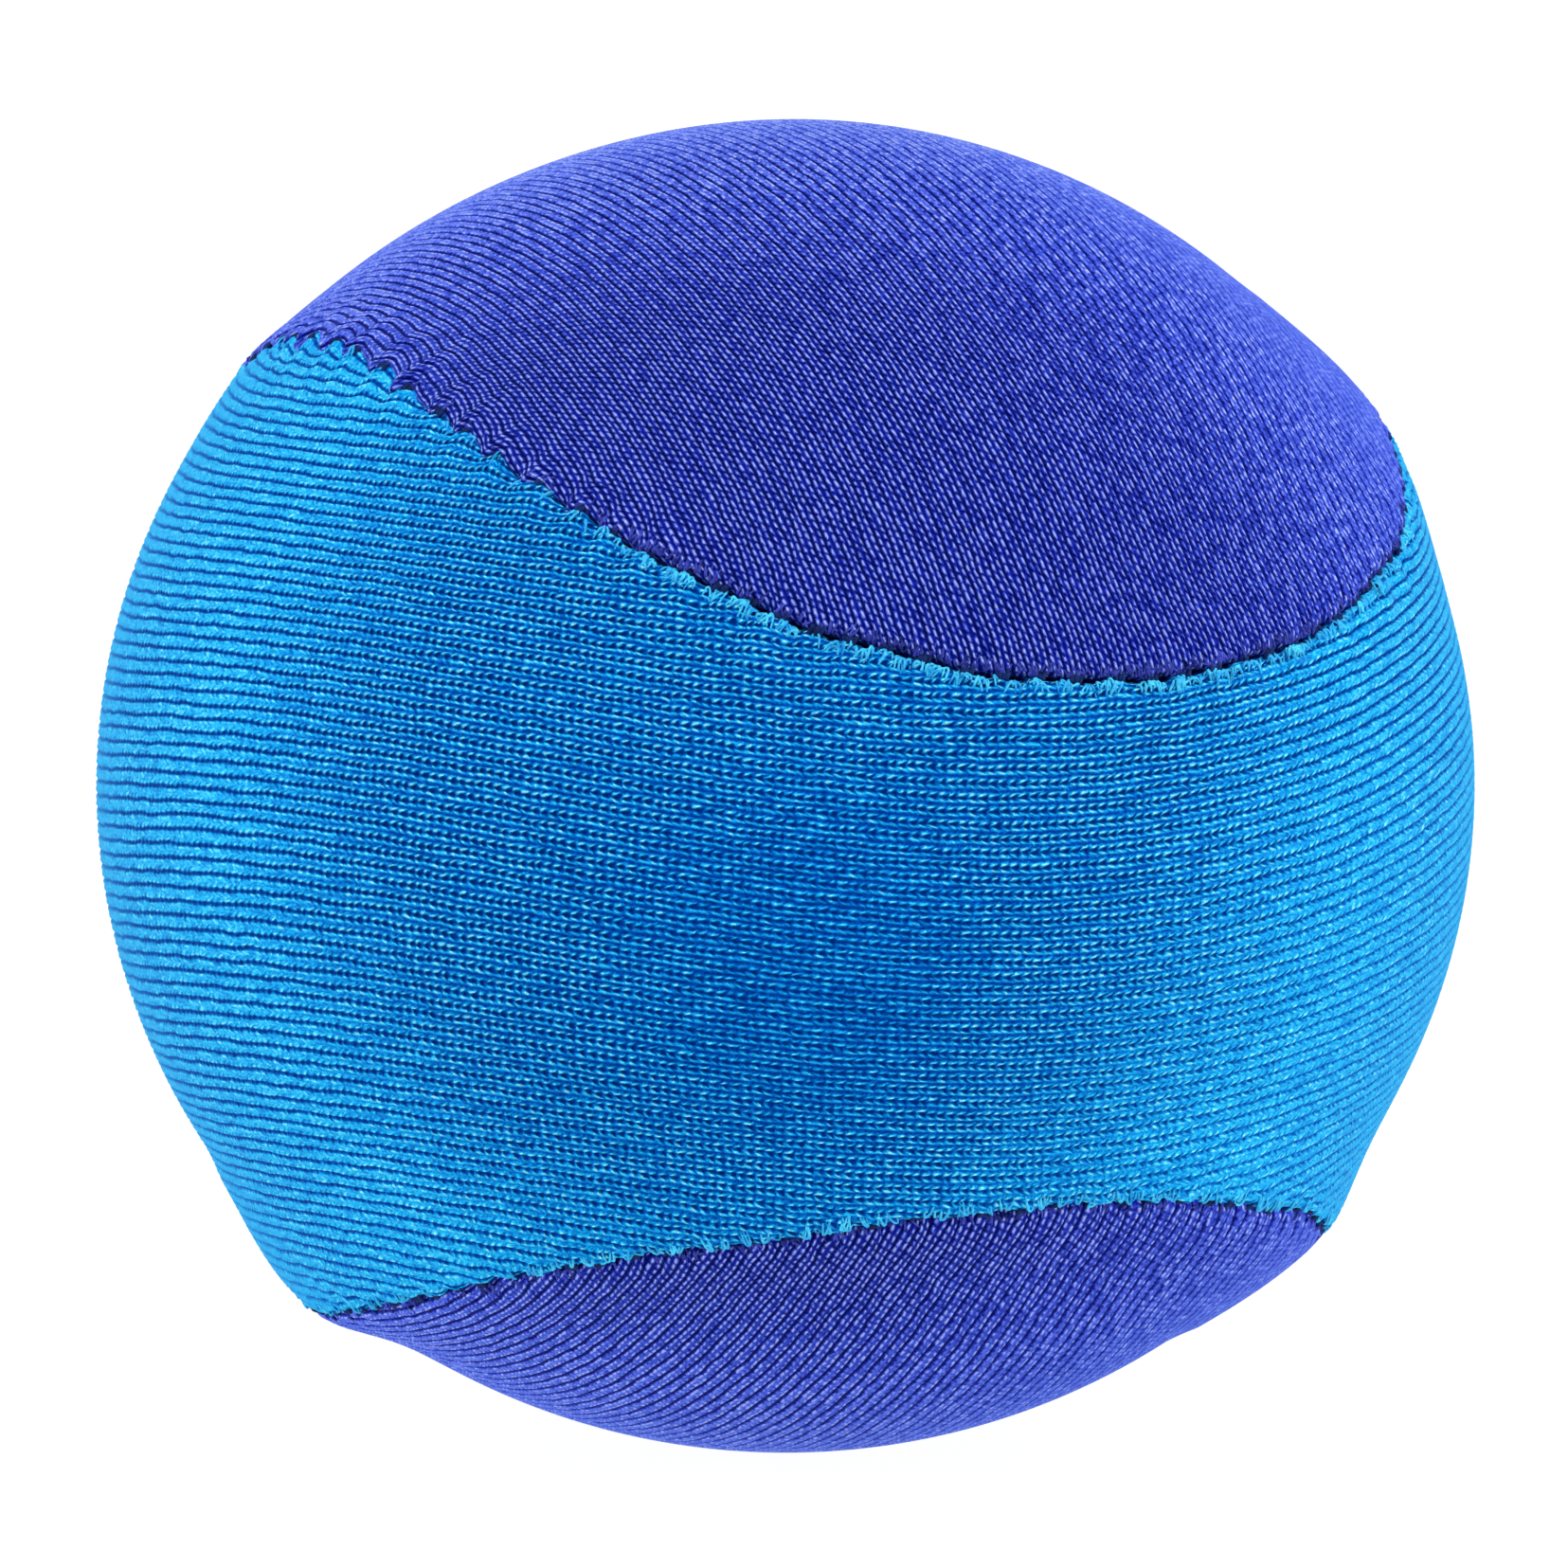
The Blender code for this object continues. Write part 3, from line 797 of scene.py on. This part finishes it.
def gel_material():
    shader = new_material("gel_soft")
    spot = shader.object_place()
    clouds = shader.noise(spot, 160.0, 4.0)
    fine = shader.noise(spot, 2600.0)
    return shader.finish({
        "Base Color": shader.ramp(clouds, [(0.3, (0.28, 0.40, 0.52)), (0.7, (0.40, 0.52, 0.63))]),
        "Roughness": fine.scaled(0.25, 0.22),
        "Normal": shader.bump(fine, strength=0.25, distance=0.0001),
        "Subsurface Weight": 0.25,
        "Subsurface Radius": (0.004, 0.005, 0.006)})


def floor_material():
    """Paper that looks white, but throws less light up than it shows."""
    shader = new_material("floor_paper")
    mottle = shader.noise(shader.object_place(), 300.0, 3.0)
    seen = shader.add("ShaderNodeLightPath", out="Is Camera Ray")
    return shader.finish({
        "Base Color": shader.ramp(mottle, [(0.0, (0.10, 0.10, 0.102)),
                                           (1.0, (0.13, 0.13, 0.132))]),
        "Roughness": 0.9,
        "Specular IOR Level": 0.1,
        "Emission Color": (1, 1, 1, 1),
        "Emission Strength": seen.scaled(0.10, 0.87)})


# ------------------------------------------------------------------ the cover
azure_cloth = azure_knit()
royal_cloth = royal_knit()
navy_thread = thread_material("navy_thread", dark=(0.002, 0.004, 0.035),
                              light=(0.012, 0.035, 0.17), sheen_tint=(0.3, 0.5, 1.0))
for panel, cloth in ((AZURE, azure_cloth), (ROYAL, royal_cloth)):
    cover = build_panel(panel)
    cover.data.materials.append(cloth)
    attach(cover, "root")
    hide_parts(panel.node)


# ------------------------------------------------- loops and stitches at the seam
def tubes(name, paths, radii, sides):
    """Round threads along rows of points, in mm: paths is threads x points x 3."""
    count, length, _ = paths.shape
    ahead = unit(np.gradient(paths, axis=1) + 1e-9)
    side = unit(np.cross(ahead, unit(paths)) + 1e-6)
    other = np.cross(side, ahead)
    turn = (np.arange(sides) / sides * 2 * np.pi)[None, None, :, None]
    ring = side[:, :, None] * np.cos(turn) + other[:, :, None] * np.sin(turn)
    verts = paths[:, :, None] + ring * radii[:, :, None, None]
    each = length * sides
    verts = np.concatenate([verts.reshape(count, each, 3), paths[:, :1], paths[:, -1:]], 1)
    quads, tris = [], []
    for k in range(length - 1):
        for j in range(sides):
            a, b = k * sides + j, k * sides + (j + 1) % sides
            quads.append((a, b, b + sides, a + sides))
    last = (length - 1) * sides
    for j in range(sides):
        tris.append(((j + 1) % sides, j, each))
        tris.append((last + j, last + (j + 1) % sides, each + 1))
    start = (np.arange(count) * (each + 2))[:, None, None]
    quads = (np.array(quads)[None] + start).reshape(-1, 4).tolist()
    tris = (np.array(tris)[None] + start).reshape(-1, 3).tolist()
    me = bpy.data.meshes.new(name)
    me.from_pydata((verts.reshape(-1, 3) * MM).tolist(), [], quads + tris)
    me.shade_smooth()
    return add_object(name, me)


def edge_loops(name, sign, seed, *, inward, tip, width, up, radius, tip_over=None):
    """Loops of loose yarn that stand out of a panel's turned edge over the seam.

    Ranges in mm: inward of a loop's feet, tip of its far end, width between its feet, up above
    the cloth, and yarn radius. tip_over carries the tips farther over along the seam.
    """
    rng = np.random.default_rng(seed)
    most = 620
    pick = rng.integers(0, SEAM_N, most * 6)
    pick = pick[rng.uniform(0, 1, len(pick)) < FRAY[pick]][:most]
    count, points = len(pick), 8
    column = (count, 1)
    t = np.linspace(0, 1, points)[None]
    hump = 4 * t * (1 - t)
    foot, other_foot = rng.uniform(*inward, column), rng.uniform(*inward, column)
    over = rng.uniform(*tip, column)
    if tip_over is not None:
        over = over - tip_over[pick][:, None]
    in_mm = foot * (1 - t) + other_foot * t
    in_mm = in_mm + (over - 0.5 * (foot + other_foot)) * hump ** 0.8
    spread = rng.uniform(*width, column) * rng.choice([-1.0, 1.0], column)
    skew = rng.uniform(-0.22, 0.22, column)
    along = spread * (t - 0.5) + skew * hump
    high = rng.uniform(*up, column) * hump + 0.055 - 0.10 * (1 - hump)
    spot = np.repeat(pick, points)
    at, _ = place(spot, in_mm.ravel(), sign, SEAM_T[spot] * (along.ravel() / R_SIDE)[:, None],
                  up=high.ravel())
    radii = rng.uniform(*radius, column) * (0.75 + 0.35 * hump)
    return tubes(name, at.reshape(count, points, 3), radii, sides=5)


def needle_stitches(name, seed):
    """The needle thread where it shows: a small bundle bridging the valley at every stitch."""
    rng = np.random.default_rng(seed)
    fan_mm = (-0.17, 0.0, 0.17)     # the bundle's threads, along the seam
    half_span = 0.46                # mm each way from the seam
    whole = np.nonzero(np.diff(np.floor(STITCH_TURN)) > 0)[0]
    spot = np.repeat(whole, len(fan_mm))
    column, points = (len(spot), 1), 11
    t = np.linspace(-1, 1, points)[None]
    height = -0.11 - 0.52 * np.abs(t) ** 1.8 + rng.uniform(-0.03, 0.03, column)
    fan = np.tile(fan_mm, len(whole))[:, None]
    along = fan * (1 - 0.35 * t * t) + rng.uniform(-0.03, 0.03, column) + 0.10 * t
    spot = spot[:, None]
    q = off_seam(spot, (half_span * t + snake(spot)) / R_SIDE)
    q = unit(q + SEAM_T[spot] * (along / R_SIDE)[..., None])
    at, normal = on_ball(q)
    at = at + normal * (RIDGE_MM[spot] + height)[..., None]
    radii = rng.uniform(0.095, 0.125, column) * np.ones((1, points))
    return tubes(name, at, radii, sides=8)


# how much loose yarn there is along the seam, 0..1
FRAY = np.clip(with_bumps(SEAM_P, 0.16, (1.0, (0.0, -0.94, 0.33), 32),
                          (0.8, (0.45, -0.82, 0.36), 26), (0.5, UPPER_LEFT, 18),
                          (0.25, (-0.33, -0.81, -0.47), 40)), 0, 1)
FRAY = FRAY * (1 - 0.85 * GATHER_HARD) * (1 - near(SEAM_P, UPPER_RIGHT, 22))
azure_yarn = thread_material("azure_yarn", dark=(0.004, 0.24, 0.68), light=(0.10, 0.76, 1.0),
                             sheen_tint=(0.0, 0.62, 1.0))
royal_yarn = thread_material("royal_yarn", dark=(0.0008, 0.002, 0.10),
                             light=(0.075, 0.10, 0.62), sheen_tint=(0.30, 0.54, 1.0))
azure_loops = edge_loops(
    "azure_edge_loops", 1, seed=21, inward=(0.25, 0.75), tip=(-0.04, 0.26), width=(0.12, 0.42),
    up=(0.01, 0.11), radius=(0.042, 0.066),
    tip_over=0.26 * near(SEAM_P, (0.64, -0.62, 0.43), 20))
royal_loops = edge_loops(
    "royal_edge_loops", -1, seed=22, inward=(0.20, 0.70), tip=(-0.12, 0.22),
    width=(0.05, 0.22), up=(-0.02, 0.06), radius=(0.040, 0.056))
needle = needle_stitches("needle_thread_stitches", seed=23)
for ob, material, slot in ((azure_loops, azure_yarn, "azure_knit"),
                           (royal_loops, royal_yarn, "royal_knit"),
                           (needle, navy_thread, "navy_thread")):
    ob.data.materials.append(material)
    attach(ob, "root")
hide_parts("needle_thread")

# ------------------------------------------------------------------ CAD nodes
gel = gel_material()
for node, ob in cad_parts.items():
    if node == "gel_core" or "thread" in node:
        ob.data.materials.clear()
        ob.data.materials.append(gel if node == "gel_core" else navy_thread)

# ------------------------------------------------------------------ floor
FLOOR_HALF = 3.0
FLOOR_Z = FOOT_Z * MM - 0.0002
floor_mesh = bpy.data.meshes.new("floor")
floor_mesh.from_pydata([(x * FLOOR_HALF, y * FLOOR_HALF, FLOOR_Z)
                        for x, y in ((-1, -1), (1, -1), (1, 1), (-1, 1))], [], [(0, 1, 2, 3)])
floor = add_object("floor", floor_mesh)
floor_mesh.materials.append(floor_material())

# ------------------------------------------------------------------ world and lights
CAM_AZ, CAM_EL = -26.7, 11.0    # camera's azimuth from the front and elevation, degrees
LAMP_DIST = 0.5


def toward(azimuth, elevation):
    """Direction at an azimuth from the front, plus to the right, and an elevation."""
    a, e = math.radians(azimuth), math.radians(elevation)
    return Vector((math.sin(a) * math.cos(e), -math.cos(a) * math.cos(e), math.sin(e)))


def light_tent():
    """White all round and above, dim behind the camera, and white where the camera sees it."""
    world = bpy.data.worlds.new("studio")
    bpy.context.scene.world = world
    shader = Shader(world, "Background")
    behind = shader.dot(shader.add("ShaderNodeTexCoord", out="Generated"),
                        toward(CAM_AZ + 4, CAM_EL + 6))
    glow = shader.remap(behind, 0.0, 0.52, (0.92, 0.0), "SMOOTHSTEP")
    seen = shader.add("ShaderNodeLightPath", out="Is Camera Ray")
    shader.finish({"Color": (1.0, 1.0, 1.0, 1.0), "Strength": glow.math("MAXIMUM", seen)})


light_tent()
# name, azimuth from the camera's, elevation, width, height, watts
for name, azimuth, elevation, width, height, power in (
        ("left_box", -62, 2, 0.3, 0.35, 1.80),
        ("right_box", 62, 0, 0.3, 0.35, 2.25),
        ("top_box", 8, 68, 0.3, 0.3, 1.92)):
    lamp = bpy.data.lights.new(name, "AREA")
    lamp.shape = "RECTANGLE"
    lamp.size, lamp.size_y = width, height
    lamp.energy = power
    box = add_object(name, lamp)
    box.location = toward(CAM_AZ + azimuth, elevation) * LAMP_DIST
    box.rotation_euler = (-box.location).to_track_quat("-Z", "Y").to_euler()

# ---------------------------------------------------------------------- camera
CAM_DIST = 16 * R_SIDE * MM
BALL_SHARE = 0.4383963746       # the ball's radius as a share of the frame's width
cam = bpy.data.cameras.new("camera")
cam_ob = add_object("camera", cam)
back = toward(CAM_AZ, CAM_EL)
cam_ob.location = back * CAM_DIST
cam_ob.rotation_euler = (-back).to_track_quat("-Z", "Y").to_euler()
cam.sensor_width = 36.0
cam.sensor_fit = "HORIZONTAL"
cam.lens = 36.0 * BALL_SHARE * CAM_DIST / (R_SIDE * MM)
cam.shift_x = -0.000906344411
cam.shift_y = 0.000302114804
cam.clip_start = 0.01
cam.clip_end = 20.0
bpy.context.scene.camera = cam_ob
bpy.context.scene.view_settings.view_transform = "Standard"

bpy.context.view_layer.update()
